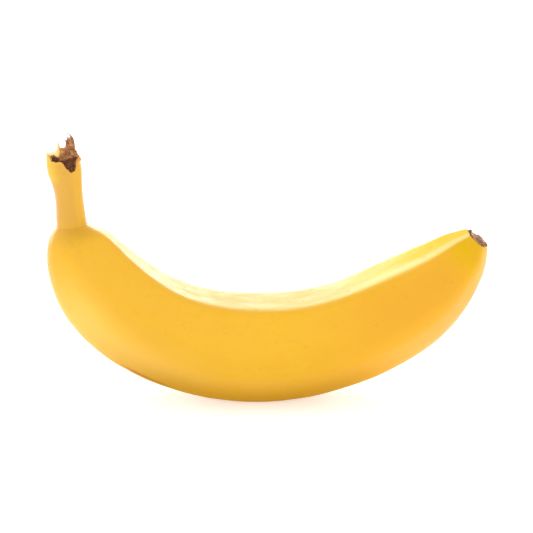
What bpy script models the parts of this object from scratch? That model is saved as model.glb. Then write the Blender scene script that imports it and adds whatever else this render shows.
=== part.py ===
"""A ripe dessert banana: one grown piece, standing on its back.

Run it with: blender --background --python part.py
Metres, +Z up. The stem is at -X, the blossom end at +X, and the hollow side of the bend faces up.
The origin is in the middle of the fruit's box, on the surface that it stands on.

The skin is one loft of closed outlines, each square to a bent core line. An outline is a polygon with soft
corners, because a banana has flat faces with ridges between them. An angle around the fruit is 0 at the
hollow side and 90 degrees at the far side, +Y.
"""

import math

import bmesh
import bpy
import numpy as np
from mathutils import Vector

# Driving sizes of the body
BODY_LENGTH = 0.1842  # along the core line, from the neck to the blossom end
BELLY_HEIGHT = 0.0380  # across the bend, from the hollow side to the back
BELLY_WIDTH = 0.0390  # side to side
SWAY = 0.0010  # how far the belly bows to one side

# Driving sizes of the stem, which was torn off its bunch
STEM_LENGTH = 0.0198  # from the neck to the lowest notch of the tear
NECK_HEIGHT = 0.0110
NECK_WIDTH = 0.0114

# Driving sizes of the blossom end
SCAR_HEIGHT = 0.0091
SCAR_WIDTH = 0.0102
SCAR_BULGE = 0.0010  # how far the dry middle stands out
SCAR_STEPS = ((0.80, 0.3), (0.44, 1.0))  # (share of the scar's width, share of its bulge)

# The skin presses flat over this depth where the fruit stands
REST_DEPTH = 0.0007

# Angles in degrees around the fruit, and how far out each flat face lies
FACES = ((0, 1.03), (66, 0.98), (130, 0.97), (180, 1.0), (230, 0.97), (294, 0.98))
# Degrees that the faces turn about the core line, at shares of the body
TURN = ((0.0, -7), (0.2, -3.6), (0.4, 1.0), (0.65, 2.4), (0.8, 5), (0.9, 9.5), (1.0, 15))

# (share of the body's length, heading of the core line in degrees, where 0 is level and 90 is straight up)
BODY_HEADING = (
    (0.00, -87),
    (0.03, -73.5),
    (0.07, -66),
    (0.17, -47),
    (0.35, -16.5),
    (0.53, 4.5),
    (0.70, 23.5),
    (0.80, 34),
    (0.90, 46.5),
    (1.00, 56),
)
# (share of the stem's length from the neck to the tear, heading)
STEM_HEADING = ((0.0, -87), (0.5, -86), (1.0, -80))
# (share of the stem's length from the neck to the tear, thickness as a share of the neck's)
STEM_THICKNESS = ((0.0, 1.0), (0.3, 0.92), (0.65, 0.92), (1.0, 1.10))

# (share of the body's length, fullness), where fullness runs from 0 at either end to 1 at the belly
FULLNESS = (
    (0.00, 0.00),
    (0.012, 0.18),
    (0.03, 0.37),
    (0.06, 0.56),
    (0.11, 0.75),
    (0.18, 0.88),
    (0.27, 0.935),
    (0.37, 0.97),
    (0.47, 1.00),
    (0.58, 0.97),
    (0.70, 0.91),
    (0.79, 0.855),
    (0.87, 0.69),
    (0.93, 0.457),
    (0.975, 0.212),
    (1.00, 0.00),
)

# (share of the body's length, how crisp the ridges are)
HOLLOW_CRISPNESS = ((0.0, 8), (0.04, 16), (0.15, 24), (0.5, 30), (0.8, 32), (1.0, 30))
BACK_CRISPNESS = ((0.0, 7), (0.15, 9), (0.5, 9), (0.8, 9), (1.0, 8))
STEM_CRISPNESS = 7
BACK_BEGINS, BACK_WHOLE = 50, 90  # degrees from the hollow between which the ridges go over to the back's

# The torn top of the stem: (angle in degrees, height above the lowest notch's level)
TORN_RIM = (
    (0, 0.0030),
    (34, 0.0044),
    (47, 0.0100),
    (73, 0.0112),
    (80, 0.0080),
    (96, 0.0076),
    (104, 0.0098),
    (112, 0.0074),
    (176, 0.0079),
    (208, 0.0076),
    (224, 0.0054),
    (265, 0.0048),
    (281, 0.0017),
    (309, 0.0007),
    (322, 0.0038),
    (347, 0.0033),
)
TORN_STEPS = ((0.78, 0.0012), (0.40, 0.0022))  # (share of the stem's width, depth below the rim)

SEGMENTS = 40  # around
BODY_RINGS = 62
STEM_RINGS = 9
END_CROWDING = 0.55  # how much closer the body's rings stand at its two ends
CORE_STEPS = 400

SKIN_COLOUR = (0.90, 0.52, 0.045, 1.0)
SKIN_ROUGHNESS = 0.45


def smooth_curve(stations):
    """A function through (position, value) stations whose slope and bend are both continuous."""
    at, value = (np.array(column, float) for column in zip(*stations))
    gap = np.diff(at)
    slope = np.diff(value) / gap
    rows = np.eye(len(at))
    right = np.zeros(len(at))
    for i in range(1, len(at) - 1):
        rows[i, i - 1 : i + 2] = gap[i - 1], 2 * (gap[i - 1] + gap[i]), gap[i]
        right[i] = 6 * (slope[i] - slope[i - 1])
    bend = np.linalg.solve(rows, right)

    def read(x):
        i = int(np.clip(np.searchsorted(at, x) - 1, 0, len(gap) - 1))
        a, b, h = at[i + 1] - x, x - at[i], gap[i]
        curved = (bend[i] * a**3 + bend[i + 1] * b**3) / (6 * h)
        return curved + (value[i] / h - bend[i] * h / 6) * a + (value[i + 1] / h - bend[i + 1] * h / 6) * b

    return read


heading_on_body = smooth_curve(BODY_HEADING)
heading_on_stem = smooth_curve(STEM_HEADING)
fullness_on_body = smooth_curve(FULLNESS)
turn_on_body = smooth_curve(TURN)
thickness_on_stem = smooth_curve(STEM_THICKNESS)


def heading(along):
    """The core line's heading in radians. along is 0 at the neck, below 0 on the stem."""
    if along < 0:
        return math.radians(heading_on_stem(-along / STEM_LENGTH))
    return math.radians(heading_on_body(along / BODY_LENGTH))


def core_line(lengths):
    """The core line's points at these lengths from the neck, which is at the origin."""
    fine = np.linspace(-STEM_LENGTH, BODY_LENGTH, CORE_STEPS)
    angles = np.array([heading(x) for x in fine])
    step = fine[1] - fine[0]
    run = np.cumsum(np.cos(angles)) * step
    rise = np.cumsum(np.sin(angles)) * step
    sway = SWAY * np.sin(math.pi * np.clip(fine / BODY_LENGTH, 0, 1))
    return [
        Vector((np.interp(x, fine, run), np.interp(x, fine, sway), np.interp(x, fine, rise)))
        for x in lengths
    ]


def crispness(along):
    """How crisp the ridges are beside the hollow and on the back."""
    if along < 0:
        return STEM_CRISPNESS, STEM_CRISPNESS
    share = along / BODY_LENGTH
    return tuple(float(np.interp(share, *zip(*table))) for table in (HOLLOW_CRISPNESS, BACK_CRISPNESS))


def outline(hollow_crispness, back_crispness):
    """A soft-cornered polygon as (inward, sideways) pairs, each running from -1 to 1."""
    angles = np.arange(SEGMENTS) * 2 * math.pi / SEGMENTS

    def reach(crisp):
        nearness = sum(
            (np.clip(np.cos(angles - math.radians(face)), 0, None) / distance) ** crisp
            for face, distance in FACES
        )
        return nearness ** (-1 / crisp)

    from_hollow = np.abs((np.degrees(angles) + 180) % 360 - 180)
    way = np.clip((from_hollow - BACK_BEGINS) / (BACK_WHOLE - BACK_BEGINS), 0, 1)
    back = way * way * (3 - 2 * way)
    radius = reach(hollow_crispness) * (1 - back) + reach(back_crispness) * back
    inward = radius * np.cos(angles)
    sideways = radius * np.sin(angles)
    inward = 2 * (inward - inward.min()) / np.ptp(inward) - 1
    sideways = sideways / np.abs(sideways).max()
    return inward, sideways


def girth(along):
    """The fruit's height and width at a length from the neck."""
    if along < 0:
        thickness = thickness_on_stem(-along / STEM_LENGTH)
        return NECK_HEIGHT * thickness, NECK_WIDTH * thickness
    share = along / BODY_LENGTH
    full = fullness_on_body(share)
    end_height = NECK_HEIGHT + (SCAR_HEIGHT - NECK_HEIGHT) * share
    end_width = NECK_WIDTH + (SCAR_WIDTH - NECK_WIDTH) * share
    return end_height + (BELLY_HEIGHT - end_height) * full, end_width + (BELLY_WIDTH - end_width) * full


def ring(centre, along):
    """The outline's points at one place on the core line."""
    height, width = girth(along)
    angle = heading(along)
    hollow = Vector((-math.sin(angle), 0, math.cos(angle)))
    far = Vector((0, 1, 0))
    turn = math.radians(turn_on_body(max(0.0, along / BODY_LENGTH)))
    inward_way = hollow * math.cos(turn) - far * math.sin(turn)
    sideways_way = far * math.cos(turn) + hollow * math.sin(turn)
    return [
        centre + inward_way * (inward * height / 2) + sideways_way * (sideways * width / 2)
        for inward, sideways in zip(*outline(*crispness(along)))
    ]


def torn_heights():
    """How far each point of the stem's top rim stands above the tear."""
    angles, heights = zip(*TORN_RIM)
    wanted = np.arange(SEGMENTS) * 360 / SEGMENTS
    return np.interp(wanted, angles + (360,), heights + heights[:1])


def body_lengths():
    """Lengths from the neck of the body's rings, closer together at both ends."""
    even = np.linspace(0, 1, BODY_RINGS)
    return BODY_LENGTH * (even - END_CROWDING * np.sin(2 * math.pi * even) / (2 * math.pi))


def shrink(points, share, offset=(0, 0, 0)):
    """A ring drawn in towards its middle, then moved by offset."""
    middle = sum(points, Vector()) / len(points)
    return [middle + (point - middle) * share + Vector(offset) for point in points]


def stem_top(rim):
    """The rings from the torn rim in to the middle of the stem's broken top."""
    up = -Vector((math.cos(heading(-STEM_LENGTH)), 0, math.sin(heading(-STEM_LENGTH))))
    heights = torn_heights()
    torn = [point + up * height for point, height in zip(rim, heights)]
    rings = []
    for share, depth in reversed(TORN_STEPS):
        level = [point + up * (height * share - depth) for point, height in zip(rim, heights)]
        rings.append(shrink(level, share))
    return rings + [torn]


def blossom_scar(rim):
    """The rings from the blossom end's rim in over its dry middle."""
    out = Vector((math.cos(heading(BODY_LENGTH)), 0, math.sin(heading(BODY_LENGTH))))
    return [shrink(rim, share, out * SCAR_BULGE * bulge) for share, bulge in SCAR_STEPS]


def all_rings():
    """Every ring of the skin, from the middle of the torn top to the middle of the blossom scar."""
    stem = np.linspace(-STEM_LENGTH, 0, STEM_RINGS, endpoint=False)
    lengths = np.concatenate([stem, body_lengths()])
    rings = [ring(centre, along) for centre, along in zip(core_line(lengths), lengths)]
    return stem_top(rings[0]) + rings + blossom_scar(rings[-1])


def loft(rings):
    """One closed mesh through the rings, with each end closed by a fan around its middle."""
    mesh = bmesh.new()
    loops = []
    for points in rings:
        verts = [mesh.verts.new(point) for point in points]
        loops.append([mesh.edges.new(pair) for pair in zip(verts, verts[1:] + verts[:1])])
    for this, following in zip(loops, loops[1:]):
        bmesh.ops.bridge_loops(mesh, edges=this + following)
    for end in (loops[0], loops[-1]):
        cap = bmesh.ops.edgeloop_fill(mesh, edges=end)["faces"]
        bmesh.ops.poke(mesh, faces=cap)
    bmesh.ops.recalc_face_normals(mesh, faces=mesh.faces)
    return mesh


def press_flat(mesh):
    """Flattens the skin over the last REST_DEPTH above its lowest point, and puts that face at z = 0."""
    level = min(vert.co.z for vert in mesh.verts) + REST_DEPTH
    for vert in mesh.verts:
        vert.co.z = max(vert.co.z, level) - level


def centre_over_origin(mesh):
    """Moves the fruit so that its box is centred on the Z axis."""
    middle = [
        (min(vert.co[axis] for vert in mesh.verts) + max(vert.co[axis] for vert in mesh.verts)) / 2
        for axis in (0, 1)
    ]
    bmesh.ops.translate(mesh, verts=mesh.verts, vec=(-middle[0], -middle[1], 0))


def skin_material():
    material = bpy.data.materials.new("banana_skin")
    material.use_nodes = True
    shader = material.node_tree.nodes["Principled BSDF"]
    shader.inputs["Base Color"].default_value = SKIN_COLOUR
    shader.inputs["Roughness"].default_value = SKIN_ROUGHNESS
    shader.inputs["Metallic"].default_value = 0
    return material


def banana():
    mesh = loft(all_rings())
    press_flat(mesh)
    centre_over_origin(mesh)
    data = bpy.data.meshes.new("banana")
    mesh.to_mesh(data)
    mesh.free()
    data.shade_smooth()
    data.materials.append(skin_material())
    bpy.context.scene.collection.objects.link(bpy.data.objects.new("banana", data))


def main():
    for thing in list(bpy.data.objects):
        bpy.data.objects.remove(thing)
    banana()


main()
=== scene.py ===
"""Finishes the banana: ridged waxy peel, torn stem and dry blossom end, on a white table under soft light.

Metres, +Z up. The stem is at -X, the blossom end at +X, and the hollow side of the bend faces up.
An angle around the fruit is 0 at the hollow side and 90 degrees at the far side, +Y.
A length along the fruit is 0 at the neck, negative on the stem and positive on the body.
"""

import math
import random

import bmesh
import bpy
import numpy as np
from bpy.props import FloatProperty, FloatVectorProperty, IntProperty, PointerProperty
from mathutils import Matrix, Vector, noise


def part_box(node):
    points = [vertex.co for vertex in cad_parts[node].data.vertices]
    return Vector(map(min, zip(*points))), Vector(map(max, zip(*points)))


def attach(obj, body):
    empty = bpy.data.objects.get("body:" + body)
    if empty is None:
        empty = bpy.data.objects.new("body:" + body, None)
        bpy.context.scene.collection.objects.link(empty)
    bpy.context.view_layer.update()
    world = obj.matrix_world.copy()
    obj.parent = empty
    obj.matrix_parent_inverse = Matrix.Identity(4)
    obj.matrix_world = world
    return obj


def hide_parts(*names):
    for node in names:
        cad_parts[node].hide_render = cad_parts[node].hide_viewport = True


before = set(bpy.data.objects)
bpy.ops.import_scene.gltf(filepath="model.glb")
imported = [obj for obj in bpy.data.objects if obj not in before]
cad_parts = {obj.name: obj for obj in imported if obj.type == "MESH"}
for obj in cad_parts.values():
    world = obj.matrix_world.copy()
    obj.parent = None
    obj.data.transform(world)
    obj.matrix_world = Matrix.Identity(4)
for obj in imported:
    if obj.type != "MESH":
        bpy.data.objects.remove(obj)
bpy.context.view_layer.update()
fruit_low, fruit_high = (np.array(corner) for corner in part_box("banana"))

bl_info = {
    "name": "Banana Maker",
    "version": (1, 0, 0),
    "blender": (4, 5, 0),
    "location": "View3D > Sidebar > Banana",
    "description": "Grows a ripe banana with a torn stem and a dry blossom end, and lights it on a table",
    "category": "Add Mesh",
}

# ---------------------------------------------------------------------------------------------------------
# The fruit's form. Each curve is a list of (position, value) stations that a smooth curve runs through.

BODY_LENGTH = 0.1842
BELLY_HEIGHT, BELLY_WIDTH = 0.0380, 0.0390
STEM_LENGTH = 0.0198
NECK_HEIGHT, NECK_WIDTH = 0.0110, 0.0114
SCAR_HEIGHT, SCAR_WIDTH = 0.0091, 0.0102
SWAY = 0.0010  # how far the belly bows to one side
SCAR_TILT = 0.0010  # how far the blossom scar's near edge lies back
REST_DEPTH = 0.0007  # the skin presses flat over this depth where the fruit stands

# Angles in degrees around the fruit, and how far out each flat face lies
FACES = ((0, 1.03), (66, 0.98), (130, 0.97), (180, 1.0), (230, 0.97), (294, 0.98))
# Degrees that the faces turn about the core line, at shares of the body
TURN = ((0.0, -7), (0.2, -3.6), (0.4, 1.0), (0.65, 2.4), (0.8, 5), (0.9, 9.5), (1.0, 15))

BODY_HEADING = (
    (0.00, -87),
    (0.03, -73.5),
    (0.07, -66),
    (0.17, -47),
    (0.35, -16.5),
    (0.53, 4.5),
    (0.70, 23.5),
    (0.80, 34),
    (0.90, 46.5),
    (1.00, 56),
)
STEM_HEADING = ((0.0, -87), (0.5, -86), (1.0, -80))
STEM_THICKNESS = ((0.0, 1.0), (0.3, 0.92), (0.65, 0.92), (1.0, 1.10))
FULLNESS = (
    (0.00, 0.00),
    (0.012, 0.18),
    (0.03, 0.37),
    (0.06, 0.56),
    (0.11, 0.75),
    (0.18, 0.88),
    (0.27, 0.935),
    (0.37, 0.97),
    (0.47, 1.00),
    (0.58, 0.97),
    (0.70, 0.91),
    (0.79, 0.855),
    (0.87, 0.69),
    (0.93, 0.457),
    (0.975, 0.212),
    (1.00, 0.00),
)
# How crisp the ridges are beside the hollow and on the back, at shares of the body's length
HOLLOW_CRISPNESS = ((0.0, 8), (0.04, 16), (0.15, 24), (0.5, 30), (0.8, 32), (1.0, 30))
BACK_CRISPNESS = ((0.0, 7), (0.15, 9), (0.5, 9), (0.8, 9), (1.0, 8))
STEM_CRISPNESS = 7

# The torn top of the stem: (angle in degrees, height above the lowest notch's level)
TORN_RIM = (
    (0, 0.0029),
    (20, 0.0033),
    (34, 0.0044),
    (41, 0.0062),
    (47, 0.0100),
    (54, 0.0110),
    (62, 0.0105),
    (73, 0.0112),
    (79, 0.0080),
    (88, 0.0074),
    (98, 0.0076),
    (104, 0.0098),
    (110, 0.0074),
    (118, 0.0070),
    (134, 0.0072),
    (155, 0.0074),
    (176, 0.0079),
    (192, 0.0078),
    (208, 0.0076),
    (217, 0.0070),
    (223, 0.0054),
    (240, 0.0050),
    (254, 0.0048),
    (265, 0.0048),
    (273, 0.0034),
    (281, 0.0017),
    (289, 0.0004),
    (299, 0.0002),
    (309, 0.0004),
    (316, 0.0017),
    (322, 0.0038),
    (334, 0.0038),
    (347, 0.0033),
)

TEAR_BEND = 0.003  # the tear's tall parts stand upright above this height
# Shares of the stem's radius: the broken top's edge, the wall's inside at the rim, and the rim's round top
BREAK_REACH, WALL_REACH, LIP_REACH = 0.74, 0.93, 0.975
LIP_RISE = 0.00012  # how far the rim's round top stands over the wall
RIM_FIBRES, WALL_FIBRES = (41, 82), (34, 100)  # degrees between which dried fibres stand in the tear

AROUND = 216  # points around the fruit
BODY_RINGS, STEM_RINGS, TEAR_RINGS, WALL_RINGS, CAP_RINGS = 290, 44, 26, 22, 14
TORN_RINGS = CAP_RINGS + WALL_RINGS  # rings from the middle of the broken top to the torn edge
END_CROWDING = 0.62  # how much closer the body's rings stand at its two ends
CORE_STEPS = 1200  # points in the sum that draws the core line

GRAIN_STRETCH = 0.018  # a fibre's run along the fruit for one unit of grain
GRAIN_AROUND = 3.2  # units of grain in the fruit's radius


def smooth_curve(stations):
    """A function through (position, value) stations whose slope and bend are both continuous."""
    at, value = (np.array(column, float) for column in zip(*stations))
    gap = np.diff(at)
    slope = np.diff(value) / gap
    rows = np.eye(len(at))
    right = np.zeros(len(at))
    for i in range(1, len(at) - 1):
        rows[i, i - 1 : i + 2] = gap[i - 1], 2 * (gap[i - 1] + gap[i]), gap[i]
        right[i] = 6 * (slope[i] - slope[i - 1])
    bend = np.linalg.solve(rows, right)

    def read(x):
        i = np.clip(np.searchsorted(at, x) - 1, 0, len(gap) - 1)
        a, b, h = at[i + 1] - x, x - at[i], gap[i]
        curved = (bend[i] * a**3 + bend[i + 1] * b**3) / (6 * h)
        return curved + (value[i] / h - bend[i] * h / 6) * a + (value[i + 1] / h - bend[i + 1] * h / 6) * b

    return read


heading_on_body, heading_on_stem = smooth_curve(BODY_HEADING), smooth_curve(STEM_HEADING)
fullness_on_body, thickness_on_stem = smooth_curve(FULLNESS), smooth_curve(STEM_THICKNESS)
turn_on_body = smooth_curve(TURN)


def smooth_step(low, high, x):
    """0 below low, 1 above high, and a soft S between them."""
    t = np.clip((np.asarray(x, float) - low) / (high - low), 0, 1)
    return t * t * (3 - 2 * t)


def heading(along):
    """The core line's heading in radians at each length."""
    up_stem = np.clip(-along / STEM_LENGTH, 0, 1)
    on_body = np.clip(along / BODY_LENGTH, 0, 1)
    return np.radians(np.where(along < 0, heading_on_stem(up_stem), heading_on_body(on_body)))


def core_line(along):
    """The core line's points, with the neck at the origin."""
    fine = np.linspace(-STEM_LENGTH, BODY_LENGTH, CORE_STEPS)
    angles = heading(fine)
    step = fine[1] - fine[0]
    run = np.cumsum(np.cos(angles)) * step
    rise = np.cumsum(np.sin(angles)) * step
    sway = SWAY * np.sin(math.pi * np.clip(fine / BODY_LENGTH, 0, 1))
    return np.stack([np.interp(along, fine, track) for track in (run, sway, rise)], axis=-1)


def girth(along):
    """The fruit's height and width at each length."""
    stem = thickness_on_stem(np.clip(-along / STEM_LENGTH, 0, 1))
    share = np.clip(along / BODY_LENGTH, 0, 1)
    full = fullness_on_body(share)
    end_height = NECK_HEIGHT + (SCAR_HEIGHT - NECK_HEIGHT) * share
    end_width = NECK_WIDTH + (SCAR_WIDTH - NECK_WIDTH) * share
    on_stem = along < 0
    height = np.where(on_stem, NECK_HEIGHT * stem, end_height + (BELLY_HEIGHT - end_height) * full)
    width = np.where(on_stem, NECK_WIDTH * stem, end_width + (BELLY_WIDTH - end_width) * full)
    return height, width


def crispness(along):
    """How crisp the ridges are beside the hollow and on the back."""
    if along < 0:
        return STEM_CRISPNESS, STEM_CRISPNESS
    share = along / BODY_LENGTH
    return tuple(float(np.interp(share, *zip(*table))) for table in (HOLLOW_CRISPNESS, BACK_CRISPNESS))


def outline(angles, hollow_crispness, back_crispness):
    """A soft-cornered polygon as (inward, sideways), each running from -1 to 1."""

    def reach(at, crisp):
        near = sum(
            (np.clip(np.cos(at - math.radians(face)), 0, None) / distance) ** crisp
            for face, distance in FACES
        )
        return near ** (-1 / crisp)

    def corners(at):
        from_hollow = np.abs((np.degrees(at) + 180) % 360 - 180)
        back = smooth_step(50, 90, from_hollow)
        radius = reach(at, hollow_crispness) * (1 - back) + reach(at, back_crispness) * back
        return radius * np.cos(at), radius * np.sin(at)

    whole_inward, whole_sideways = corners(np.linspace(0, 2 * math.pi, 360))
    inward, sideways = corners(angles)
    low, high = whole_inward.min(), whole_inward.max()
    return 2 * (inward - low) / (high - low) - 1, sideways / np.abs(whole_sideways).max()


def skin_ring(along, angles):
    """The skin's points around the fruit at one length."""
    centre = core_line(np.array([along]))[0]
    height, width = (float(value) for value in girth(np.array(along)))
    angle = float(heading(np.array(along)))
    hollow = np.array([-math.sin(angle), 0, math.cos(angle)])
    far = np.array([0, 1.0, 0])
    turn = math.radians(float(turn_on_body(np.array(max(0.0, along / BODY_LENGTH)))))
    inward_way = hollow * math.cos(turn) - far * math.sin(turn)
    sideways_way = far * math.cos(turn) + hollow * math.sin(turn)
    inward, sideways = outline(angles, *crispness(along))
    return centre + np.outer(inward * height / 2, inward_way) + np.outer(sideways * width / 2, sideways_way)


def mottle(points, size, seed, octaves=3):
    """Soft noise from about -1 to 1 at each point, with features of this size."""
    shift = Vector((seed * 7.3, seed * 3.1, seed * 5.7))
    return np.array([noise.fractal(Vector(p) / size + shift, 1.0, 2.0, octaves) for p in points])


# ---------------------------------------------------------------------------------------------------------
# The torn top


def stem_up():
    """The way the stem points at its torn top."""
    angle = float(heading(np.array(-STEM_LENGTH)))
    return -np.array([math.cos(angle), 0, math.sin(angle)])


def rim_height(angles):
    """How far the torn rim stands above its lowest notch, with small ragged teeth."""
    at, height = (np.array(column, float) for column in zip(*TORN_RIM))
    smooth = np.interp(np.degrees(angles) % 360, np.append(at, 360), np.append(height, height[0]))
    on_ring = np.stack([np.cos(angles), np.sin(angles), np.zeros_like(angles)], axis=-1)
    teeth = 0.00032 * mottle(on_ring, 0.16, 3) + 0.00022 * mottle(on_ring, 0.05, 4)
    return np.maximum(smooth + teeth, 0.0002)


def straighten(height):
    """How far a tall part of the tear leans back toward the hollow side, so that it stands upright."""
    return np.maximum(height - TEAR_BEND, 0) * math.cos(float(heading(np.array(-STEM_LENGTH))))


def break_level(across, back):
    """The broken tissue's height inside the stem, for places from -1 to 1 along X and Y."""
    return 0.0030 + 0.0022 * back + 0.0006 * across - 0.0010 * across * back


def tear_rings(angles):
    """Rings from the middle of the broken top, up the inside of the torn wall and down its outside."""
    base = skin_ring(-STEM_LENGTH, angles)
    middle = base.mean(axis=0)
    up, rim = stem_up(), rim_height(angles)
    rings, depth = [], []

    def upright(height):
        """The shift that stands a tall part of the wall up."""
        return np.outer(straighten(height), (1.0, 0, 0))

    for t in np.linspace(0.04, 1, CAP_RINGS):
        reach = BREAK_REACH * t
        height = break_level(reach * np.cos(angles), reach * np.sin(angles))
        rings.append(middle + (base - middle) * reach + np.outer(height, up))
        depth.append(np.full(len(angles), 1 - reach))
    start = break_level(BREAK_REACH * np.cos(angles), BREAK_REACH * np.sin(angles))
    for t in np.linspace(0, 1, WALL_RINGS)[1:]:
        reach = BREAK_REACH + (WALL_REACH - BREAK_REACH) * t**0.7
        height = start + (rim - start) * smooth_step(0, 1, t)
        rings.append(middle + (base - middle) * reach + np.outer(height, up) + upright(height))
        depth.append(np.full(len(angles), (1 - BREAK_REACH) * (1 - t)))
    rings.append(middle + (base - middle) * LIP_REACH + np.outer(rim + LIP_RISE, up) + upright(rim))
    depth.append(np.full(len(angles), 0.03))
    for t in np.linspace(1, 0, TEAR_RINGS, endpoint=False):
        rings.append(base + np.outer(rim * t, up) + upright(rim * t))
        depth.append(np.zeros(len(angles)))
    return rings, depth


# ---------------------------------------------------------------------------------------------------------
# The blossom end


def blossom_way():
    """The way the fruit points at its blossom end."""
    angle = float(heading(np.array(BODY_LENGTH)))
    return np.array([math.cos(angle), 0, math.sin(angle)])


def scar_rings(angles):
    """Rings from the blossom end's rim, over its curled lip and in over the dry scar."""
    rim = skin_ring(BODY_LENGTH, angles)
    middle = rim.mean(axis=0)
    out = blossom_way()
    rings = []
    for t in np.linspace(0, 1, CAP_RINGS + 1)[1:]:
        reach = 1 - 0.96 * t
        dip = -0.0006 * smooth_step(0.0, 0.18, t) + 0.0009 * smooth_step(0.2, 0.8, t)
        rings.append(middle + (rim - middle) * reach + out * dip)
    return rings


def body_lengths():
    """The body's ring lengths, crowded towards its two ends."""
    even = np.linspace(0, 1, BODY_RINGS)
    return BODY_LENGTH * (even - END_CROWDING * np.sin(2 * math.pi * even) / (2 * math.pi))


def surface_normals(grid):
    """Outward normals of a grid of rings."""
    around = np.roll(grid, -1, axis=1) - np.roll(grid, 1, axis=1)
    along = np.gradient(grid, axis=0)
    normal = np.cross(around, along)
    length = np.linalg.norm(normal, axis=-1, keepdims=True)
    return normal / np.maximum(length, 1e-12)


def peel_grid():
    """The peel's points as (rings, around, 3), with each point's length, angle and depth into the tear."""
    angles = np.arange(AROUND) * 2 * math.pi / AROUND
    torn, torn_depth = tear_rings(angles)
    stem = np.linspace(-STEM_LENGTH, 0, STEM_RINGS, endpoint=False)
    lengths = np.concatenate([stem, body_lengths()])
    skin = [skin_ring(along, angles) for along in lengths]
    scar = scar_rings(angles)
    grid = np.array(torn + skin + scar)
    along = np.concatenate([np.full(len(torn), -STEM_LENGTH), lengths, np.full(len(scar), BODY_LENGTH)])
    depth = np.array(torn_depth + [np.zeros(AROUND)] * (len(skin) + len(scar)))
    inward = np.concatenate([np.zeros(len(torn) + len(skin)), np.linspace(0, 1, len(scar) + 1)[1:]])
    near_scar = smooth_step(0.955, 1.0, along / BODY_LENGTH)[:, None] * (1 - inward[:, None])
    near_side = np.clip(-np.sin(angles), 0, 1) ** 1.4 - 0.25 * np.clip(np.cos(angles), 0, 1) ** 3
    grid -= SCAR_TILT * (near_scar * near_side)[..., None] * blossom_way()
    return grid, along, angles, depth, inward


def settle(grid):
    """Presses the back flat, stands it on z = 0 and fits the grid to the fruit's box."""
    level = grid[..., 2].min() + REST_DEPTH
    grid[..., 2] = np.maximum(grid[..., 2], level) - level
    low, high = grid.reshape(-1, 3).min(axis=0), grid.reshape(-1, 3).max(axis=0)
    middle = (low + high) / 2
    target = (fruit_low + fruit_high) / 2
    grid[..., 0] += target[0] - middle[0]
    grid[..., 1] += target[1] - middle[1]
    return grid


def landmarks():
    """The settled peel's rings: the broken top's, the torn edge, and the blossom scar's rim."""
    grid = settle(peel_grid()[0])
    return grid[:TORN_RINGS], grid[TORN_RINGS - 1], grid[-CAP_RINGS - 1]


def strand(path, radius, flat=1.0, sides=6, blunt=0.0):
    """Rings of a strand along a path, thickest near its foot and fine at its tip."""
    path = np.array(path, float)
    turn = np.arange(sides) * 2 * math.pi / sides
    rings = []
    for i, point in enumerate(path):
        way = path[min(i + 1, len(path) - 1)] - path[max(i - 1, 0)]
        way = way / max(np.linalg.norm(way), 1e-12)
        side = np.cross(way, (0.3, 1.0, 0.1))
        side = side / np.linalg.norm(side)
        other = np.cross(way, side)
        t = i / (len(path) - 1)
        fine_tip = (1 - t) ** 0.7
        round_ends = math.sqrt(max(math.sin(math.pi * t), 0.0))
        size = radius * (fine_tip * (1 - blunt) + blunt * round_ends)
        size = max(size, radius * 0.05)
        ring = np.outer(np.cos(turn) * size, side) + np.outer(np.sin(turn) * size * flat, other)
        rings.append(point + ring)
    return np.array(rings)


class Heap:
    """Small closed shapes gathered into one mesh, with a shade for each point."""

    def __init__(self):
        self.vertices, self.faces, self.shades = [], [], []

    def add(self, rings, shade):
        """Closes the rings into a shape of this shade, from 0, dark, to 1, pale."""
        start = len(self.vertices)
        rows, around = rings.shape[:2]
        points = np.concatenate([rings.reshape(-1, 3), [rings[0].mean(axis=0), rings[-1].mean(axis=0)]])
        self.vertices += points.tolist()
        self.faces += [[start + corner for corner in face] for face in weave(rows, around)]
        self.shades += [shade] * len(points)

    def piece(self, name, material):
        """Makes one piece of the heap."""
        piece = new_piece(name, self.vertices, self.faces, material)
        form = bmesh.new()
        form.from_mesh(piece.data)
        bmesh.ops.recalc_face_normals(form, faces=form.faces)
        form.to_mesh(piece.data)
        form.free()
        note(piece, "shade", self.shades)
        return piece


def bent_path(foot, way, length, sag, steps=7):
    """Points from a foot along a way, bending off towards sag."""
    way = np.array(way, float) / np.linalg.norm(way)
    t = np.linspace(0, 1, steps)[:, None]
    return np.array(foot) + way * length * t + np.array(sag, float) * length * t**2


def lump(centre, way, size, height, seed, rows=9, around=20):
    """Rings of a low uneven dome on a disc whose top faces along way."""
    way = np.array(way, float) / np.linalg.norm(way)
    side = np.cross(way, (0, 1.0, 0))
    side = side / np.linalg.norm(side)
    other = np.cross(way, side)
    turn = np.arange(around) * 2 * math.pi / around
    rings = []
    for share in np.linspace(0.0, 1.0, rows):
        bend = math.pi * (0.06 + 0.9 * share)
        reach, lift = math.sin(bend), math.cos(bend)
        ring = np.outer(np.cos(turn) * reach * size[0], side)
        ring += np.outer(np.sin(turn) * reach * size[1], other)
        ring = np.array(centre) + ring - np.outer(np.full(around, lift * height), way)
        wobble = 1 + 0.22 * mottle(ring, max(size) * 0.7, seed)
        wobble += 0.12 * mottle(ring, max(size) * 0.28, seed + 1)
        rings.append(np.array(centre) + (ring - centre) * wobble[:, None])
    return np.array(rings)


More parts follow.
